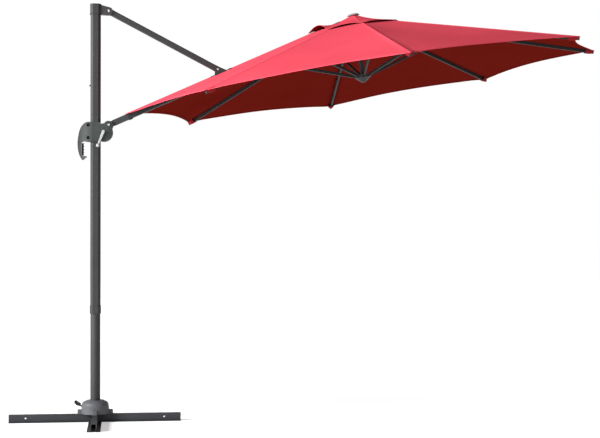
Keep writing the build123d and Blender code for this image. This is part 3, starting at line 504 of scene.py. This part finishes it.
def cut_window(thing, low, high, side):
    """Cuts a rectangle out of the cloth over the arm, in distances along the arm and to the sides."""
    mesh = bmesh.new()
    mesh.from_mesh(thing.data)
    for point, normal in (
        (slider_pivot + low * arm_along, arm_along),
        (slider_pivot + high * arm_along, arm_along),
        (Vector((0, side, 0)), canopy_y),
        (Vector((0, -side, 0)), canopy_y),
    ):
        bmesh.ops.bisect_plane(
            mesh, geom=mesh.verts[:] + mesh.edges[:] + mesh.faces[:], plane_co=point, plane_no=normal
        )
    inside = [
        face for face in mesh.faces
        if abs(face.calc_center_median().y) < side
        and low < (face.calc_center_median() - slider_pivot).dot(arm_along) < high
    ]
    bmesh.ops.delete(mesh, geom=inside, context="FACES")
    mesh.to_mesh(thing.data)
    mesh.free()


def fold_with(thing, spoke):
    """The piece rides on its rib."""
    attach(thing, rib_body[spoke])
    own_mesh(thing)


# the window in the cloth over the arm, for the knee bracket
WINDOW_BEFORE_KNEE = 0.047
WINDOW_PAST_KNEE = 0.063
KNEE_ALONG = (knee - slider_pivot).dot(arm_along)
WINDOW = (KNEE_ALONG - WINDOW_BEFORE_KNEE, KNEE_ALONG + WINDOW_PAST_KNEE)
WINDOW_SIDE = 0.022
VENT_ROWS = 14
main_shares = [i / (ROWS - 1) for i in range(ROWS)]
vent_shares = [i / (VENT_ROWS - 1) for i in range(VENT_ROWS)]
for k in SPOKES:
    main = cloth_sheet(f"canopy_{k}", main_point, k, ROWS, main_shares)
    outward_first(main)
    if k == 1:
        cut_window(main, *WINDOW, WINDOW_SIDE)
    thicken(main)
    vent = cloth_sheet(f"vent_cap_{k}", vent_point, k, VENT_ROWS, vent_shares)
    outward_first(vent)
    thicken(vent)
    for piece in (main, vent):
        fold_with(piece, k)
    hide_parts(f"gore_{k}")


# ---------------------------------------------------------------- pockets that hold the rib tips
SEAM_FREE = 0.02             # weave coordinate that is clear of the stitches
POCKET_LENGTH = 0.060
POCKET_HALF_WIDTH = 0.019
POCKET_DEPTH = 0.0245
POCKET_AHEAD = 0.002         # start of the pocket ahead of the corner
POCKET_GAP = 0.0006          # its sides below the canopy
POCKET_TIP_FULLNESS = 0.25
POCKET_FILL = 1.6            # how fast it fills out behind its tip
POCKET_FLARE = 0.25
POCKET_PUCKER = 0.0015
POCKET_PUCKERS = 5
POCKET_STEPS = 9
POCKET_ROUNDS = 13


def rib_point(spoke, from_tip, sideways, below):
    """Point near a corner: a distance back from the tip along the rib, to its side and under the cloth."""
    tip, back = on_spoke(spoke, 1), on_spoke(spoke, 0.5)
    inward = (back - tip).normalized()
    side = spoke_heading(spoke).cross(Vector((0, 0, 1)))
    down = inward.cross(side)
    if down.z > 0:
        down = -down
    return place(tip + from_tip * inward + sideways * side + below * down)


for k in range(2, 9):
    points, uvs = [], []
    for i in range(POCKET_STEPS):
        along = i / (POCKET_STEPS - 1)
        full = smooth(POCKET_TIP_FULLNESS + POCKET_FILL * along)
        flare = 1 + POCKET_FLARE * along * along
        for j in range(POCKET_ROUNDS):
            turn = pi * j / (POCKET_ROUNDS - 1)
            sideways = -cos(turn) * POCKET_HALF_WIDTH * full * flare
            pucker = POCKET_PUCKER * sin(POCKET_PUCKERS * turn + k) * along
            below = POCKET_GAP + sin(turn) ** 0.7 * POCKET_DEPTH * full + pucker * sin(turn)
            points.append(rib_point(k, -POCKET_AHEAD + along * POCKET_LENGTH, sideways, below))
            uvs.append((SEAM_FREE + turn * POCKET_HALF_WIDTH, along * POCKET_LENGTH))
    faces = grid_faces(POCKET_STEPS, POCKET_ROUNDS)
    pocket = object_from(f"pocket_{k}", points, faces, uvs, (pocket_cloth_painted_shade,))
    thicken(pocket)
    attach(pocket, rib_body[k])

# ---------------------------------------------------------------- strap round the arm at the canopy's corner
ARM_HALF_WIDTH = 0.015
ARM_HALF_DEPTH = 0.018
STRAP_WIDTH = 0.022
STRAP_GAP = 0.0022           # strap's face off the arm's tube
STRAP_OVERLAP = 0.0015       # rise of its end over its start
STRAP_PAST_CORNER = 0.012
STRAP_SQUARENESS = 6         # power of the rounded rectangle it follows
STRAP_STEPS = 41
STRAP_BANDS = 5
STRAP_STEP_WEAVE = 0.003

corner_along = (place(on_spoke(1, 1)) - slider_pivot).dot(arm_along)
points, uvs = [], []
for i in range(STRAP_BANDS):
    for j in range(STRAP_STEPS):
        turn = 2 * pi * j / (STRAP_STEPS - 1) + pi / 2
        c, s = cos(turn), sin(turn)
        squareness = (abs(c) ** STRAP_SQUARENESS + abs(s) ** STRAP_SQUARENESS) ** (-1 / STRAP_SQUARENESS)
        lift = STRAP_OVERLAP * j / (STRAP_STEPS - 1)
        points.append(arm_point(
            corner_along + STRAP_PAST_CORNER + STRAP_WIDTH * i / (STRAP_BANDS - 1),
            (ARM_HALF_WIDTH + STRAP_GAP + lift) * c * squareness,
            (ARM_HALF_DEPTH + STRAP_GAP + lift) * s * squareness,
        ))
        uvs.append((SEAM_FREE + j * STRAP_STEP_WEAVE, STRAP_WIDTH * i / (STRAP_BANDS - 1)))
strap = object_from("corner_strap", points, grid_faces(STRAP_BANDS, STRAP_STEPS), uvs, (webbing,))
thicken(strap)
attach(strap, "arm")

# ---------------------------------------------------------------- binding sewn round the window
BINDING = 0.013
BINDING_RISE = 0.0016        # binding over the cloth, at the arm's middle
BINDING_LIP = 0.0012         # extra rise of its inner edge
BINDING_SLOPE = 0.125        # fall of the cloth to either side of the arm
SIDE_STEPS = 12
BINDING_STEP_WEAVE = 0.004

low, high = WINDOW
window_middle = (low + high) / 2
window_half = (high - low) / 2
outline = [(low, -WINDOW_SIDE), (high, -WINDOW_SIDE), (high, WINDOW_SIDE), (low, WINDOW_SIDE)]
perimeter = [
    (x0 + (x1 - x0) * step / SIDE_STEPS, y0 + (y1 - y0) * step / SIDE_STEPS)
    for (x0, y0), (x1, y1) in zip(outline, outline[1:] + outline[:1])
    for step in range(SIDE_STEPS)
]
points, uvs = [], []
for ring_share in (0.0, 0.5, 1.0):
    grow = BINDING * ring_share
    for n, (x, y) in enumerate(perimeter):
        along = window_middle + (x - window_middle) * (window_half + grow) / window_half
        sideways = y * (WINDOW_SIDE + grow) / WINDOW_SIDE
        lip = BINDING_LIP * (1 - ring_share) ** 2
        above = ARM_CLOTH_HEIGHT + BINDING_RISE - BINDING_SLOPE * abs(sideways) + lip
        points.append(arm_point(along, sideways, above))
        uvs.append((SEAM_FREE + n * BINDING_STEP_WEAVE, grow))
count = len(perimeter)
faces = []
for ring_number in range(2):
    for n in range(count):
        a, b = ring_number * count + n, ring_number * count + (n + 1) % count
        faces.append((a, b, b + count, a + count))
binding = object_from("window_binding", points, faces, uvs, (webbing,))
thicken(binding)
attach(binding, "arm")

# ---------------------------------------------------------------- painted shade: dark rings set in the slider's screw recesses, where shade falls
SCREW_SPACING = 0.075
RECESS_SHADE_DEPTH = 0.0212          # rings from the slider's middle plane
RECESS_SHADE_RADII = (0.0048, 0.0098)
SEGMENTS = 40

slider_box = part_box("slider_screws")
screw_middle = (Vector(slider_box[0]) + Vector(slider_box[1])) / 2
for side_name, side in (("near", -1), ("far", 1)):
    for level_name, level in (("upper", 0.5), ("lower", -0.5)):
        centre = Vector((screw_middle.x, side * RECESS_SHADE_DEPTH, screw_middle.z + level * SCREW_SPACING))
        points = [
            centre + Vector((radius * cos(2 * pi * n / SEGMENTS), 0, radius * sin(2 * pi * n / SEGMENTS)))
            for radius in RECESS_SHADE_RADII
            for n in range(SEGMENTS)
        ]
        faces = [
            (n, (n + 1) % SEGMENTS, SEGMENTS + (n + 1) % SEGMENTS, SEGMENTS + n) for n in range(SEGMENTS)
        ]
        recess_shade = object_from(f"screw_recess_shade_{side_name}_{level_name}", points, faces, None, (trigger_plastic,))
        thicken(recess_shade)
        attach(recess_shade, "slider")

# ---------------------------------------------------------------- camera
CAMERA_PLACE = Vector((0.175, -8.609, 1.047))
CAMERA_YAW = radians(6.87)
CAMERA_PITCH = radians(0.94)
CAMERA_ROLL = radians(-0.06)
LENS = 86.94
camera = bpy.data.objects.new("camera", bpy.data.cameras.new("camera"))
scene.collection.objects.link(camera)
camera.data.lens = LENS
camera.data.sensor_width = 36
camera.location = CAMERA_PLACE
camera.rotation_mode = "XYZ"
turn = Matrix.Rotation(-CAMERA_YAW, 3, "Z") @ Matrix.Rotation(pi / 2 + CAMERA_PITCH, 3, "X")
camera.rotation_euler = (turn @ Matrix.Rotation(CAMERA_ROLL, 3, "Z")).to_euler()
scene.camera = camera
scene.view_settings.view_transform = "Standard"

# ---------------------------------------------------------------- light
# white walls, with a dimmer ceiling and a dimmer wall at the far end of the arm
WALL_LIGHT = 1.0
CEILING_LIGHT = 0.10
CEILING_FROM, CEILING_TO = 0.22, 0.60
FAR_WALL = 0.35
FAR_WALL_FROM, FAR_WALL_TO = 0.42, 0.80
world = bpy.data.worlds.new("studio")
world.use_nodes = True
sky_tree = world.node_tree
background = sky_tree.nodes["Background"]
background.inputs["Color"].default_value = (1.0, 1.0, 1.0, 1)
heading = node(sky_tree, "ShaderNodeSeparateXYZ")
sky_tree.links.new(node(sky_tree, "ShaderNodeTexCoord").outputs["Generated"], heading.inputs["Vector"])
wall_fades = [
    map_range(sky_tree, heading.outputs[axis], span, (WALL_LIGHT, least), interpolation_type="SMOOTHSTEP")
    for axis, span, least in (
        ("Z", (CEILING_FROM, CEILING_TO), CEILING_LIGHT),
        ("X", (FAR_WALL_FROM, FAR_WALL_TO), FAR_WALL),
    )
]
sky_tree.links.new(maths(sky_tree, "MULTIPLY", *wall_fades), background.inputs["Strength"])
scene.world = world

KEY_PLACE = Vector((-7.5, -4.0, 4.2))
KEY_AIM = Vector((1.2, 0, 1.9))
KEY_SIZE = 2.2
KEY_POWER = 1900
lamp = bpy.data.lights.new("key", "AREA")
lamp.size = KEY_SIZE
lamp.energy = KEY_POWER
key = bpy.data.objects.new("key", lamp)
key.location = KEY_PLACE
key.rotation_euler = (KEY_AIM - KEY_PLACE).to_track_quat("-Z", "Y").to_euler()
scene.collection.objects.link(key)

# ---------------------------------------------------------------- floor
# glow that keeps the floor as pale as the walls, stronger where the key light fades
FLOOR_GLOW = 0.42
FAR_GLOW = 0.88
GLOW_FROM, GLOW_TO = 2.0, 7.0
# painted shadow: the floor inside the hollow bars gets none of the glow, so it stays dark there as if shaded
BAR_REACH = 0.5
BAR_INSIDE = 0.016
FLOOR_SIZE = 60.0
FLOOR_STEPS = 6
FLOOR_DROP = 0.0005
floor_material = coated("pale_floor", (0.86, 0.86, 0.86), 0.7, grain=60.0, depth=0.02, variation=0.01)
floor_tree = floor_material.node_tree
floor_shader = floor_tree.nodes["Principled BSDF"]
floor_shader.inputs["Emission Color"].default_value = (1, 1, 1, 1)
floor_here = node(floor_tree, "ShaderNodeTexCoord").outputs["Object"]
floor_place = node(floor_tree, "ShaderNodeSeparateXYZ")
floor_tree.links.new(floor_here, floor_place.inputs["Vector"])
distance = node(floor_tree, "ShaderNodeVectorMath", operation="LENGTH")
floor_tree.links.new(floor_here, distance.inputs[0])


def within(axis, reach):
    """Socket that is 1 where the floor is nearer than a reach to the origin along an axis."""
    return maths(floor_tree, "LESS_THAN", maths(floor_tree, "ABSOLUTE", floor_place.outputs[axis]), reach)


glow = map_range(floor_tree, distance.outputs["Value"], (GLOW_FROM, GLOW_TO), (FLOOR_GLOW, FAR_GLOW))
for along, across in (("X", "Y"), ("Y", "X")):
    bar_painted_shadow = maths(floor_tree, "MULTIPLY", within(along, BAR_REACH), within(across, BAR_INSIDE))
    glow = maths(floor_tree, "MULTIPLY", glow, maths(floor_tree, "SUBTRACT", 1.0, bar_painted_shadow))
floor_tree.links.new(glow, floor_shader.inputs["Emission Strength"])
floor_points = [
    Vector((FLOOR_SIZE * (i / FLOOR_STEPS - 0.5), FLOOR_SIZE * (j / FLOOR_STEPS - 0.5), -FLOOR_DROP))
    for i in range(FLOOR_STEPS + 1)
    for j in range(FLOOR_STEPS + 1)
]
floor_faces = grid_faces(FLOOR_STEPS + 1, FLOOR_STEPS + 1)
floor = object_from("floor", floor_points, floor_faces, None, (floor_material,), False)
